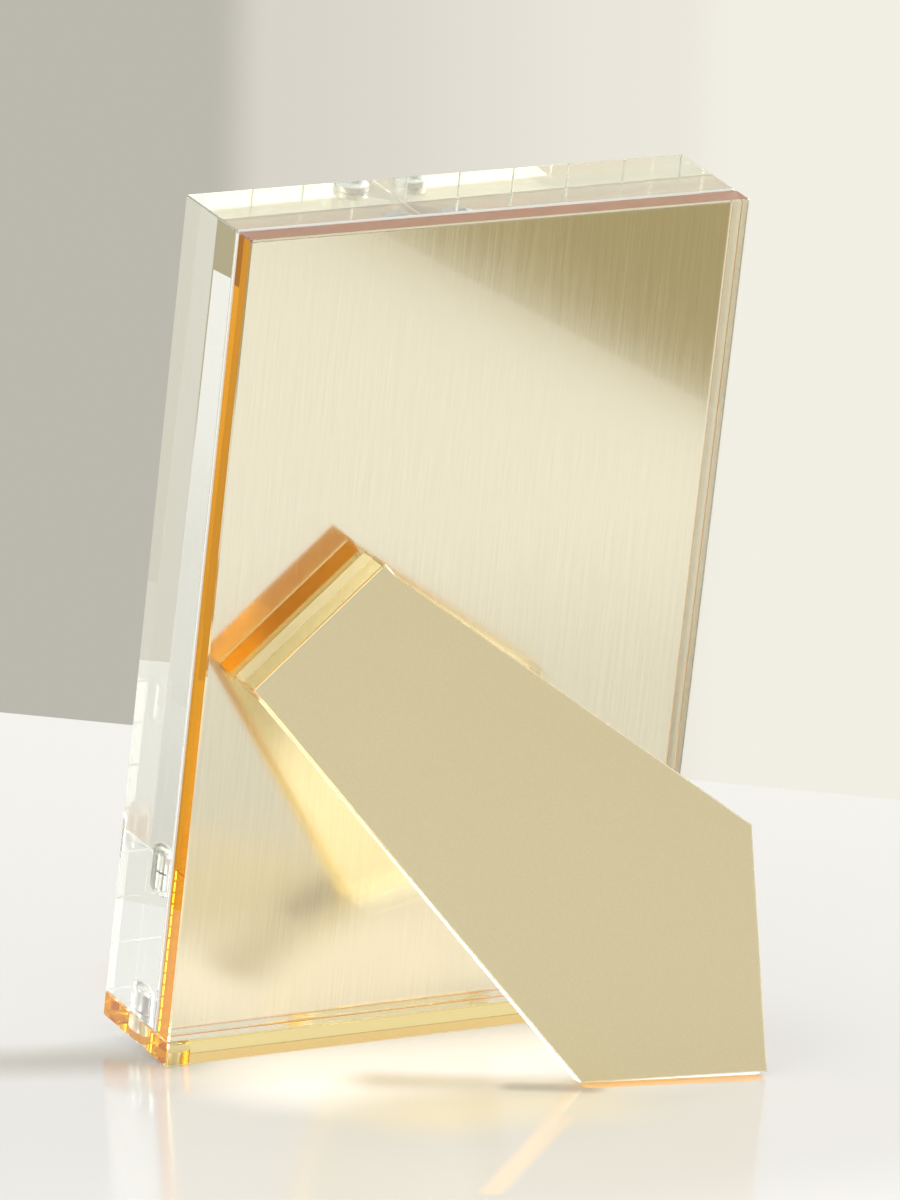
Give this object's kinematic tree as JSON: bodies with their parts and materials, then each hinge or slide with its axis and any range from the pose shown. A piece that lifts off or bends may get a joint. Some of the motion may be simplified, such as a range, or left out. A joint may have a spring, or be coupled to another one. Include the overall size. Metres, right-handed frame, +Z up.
{
  "type": "acrylic photo frame",
  "caption": "Leaning tabletop photo frame: clear acrylic block on a tinted base and back plate, brushed gold backing sheet, folded gold-coated easel leg.",
  "frame": {"origin": "on the surface that the frame stands on, under the middle of its bounding box", "axes": "+Z up, the picture faces -Y, the leg reaches towards +Y, +X is to the right of someone looking at the picture"},
  "size_m": [0.1016, 0.0768, 0.1596],
  "materials": {
    "clear_acrylic": "polished clear acrylic",
    "honey_acrylic": "polished honey-tinted acrylic",
    "brushed_gold_sheet": "brushed pale gold",
    "brushed_gold_leg": "satin pale gold coat on honey-tinted acrylic",
    "nickel_magnet": "bright nickel",
    "print_paper": "coated photo paper, bare"
  },
  "bodies": {
    "back_frame": {"base_strip": "honey_acrylic", "back_plate": "honey_acrylic", "gold_sheet": "brushed_gold_sheet", "base_magnet_left": "nickel_magnet", "base_magnet_right": "nickel_magnet", "easel_leg": "brushed_gold_leg"},
    "picture_block": {"front_block": "clear_acrylic", "block_magnet_left": "nickel_magnet", "block_magnet_right": "nickel_magnet"},
    "print": {"photo_print": "print_paper"}
  },
  "joints": [
    {"name": "block_pull_off", "type": "slide", "parent": "back_frame", "child": "picture_block", "axis": [0, -0.9848, 0.1736], "range_m": [0, 0.03]},
    {"name": "print_lift_out", "type": "slide", "parent": "back_frame", "child": "print", "axis": [0, 0.1736, 0.9848], "range_m": [0, 0.155]}
  ]
}
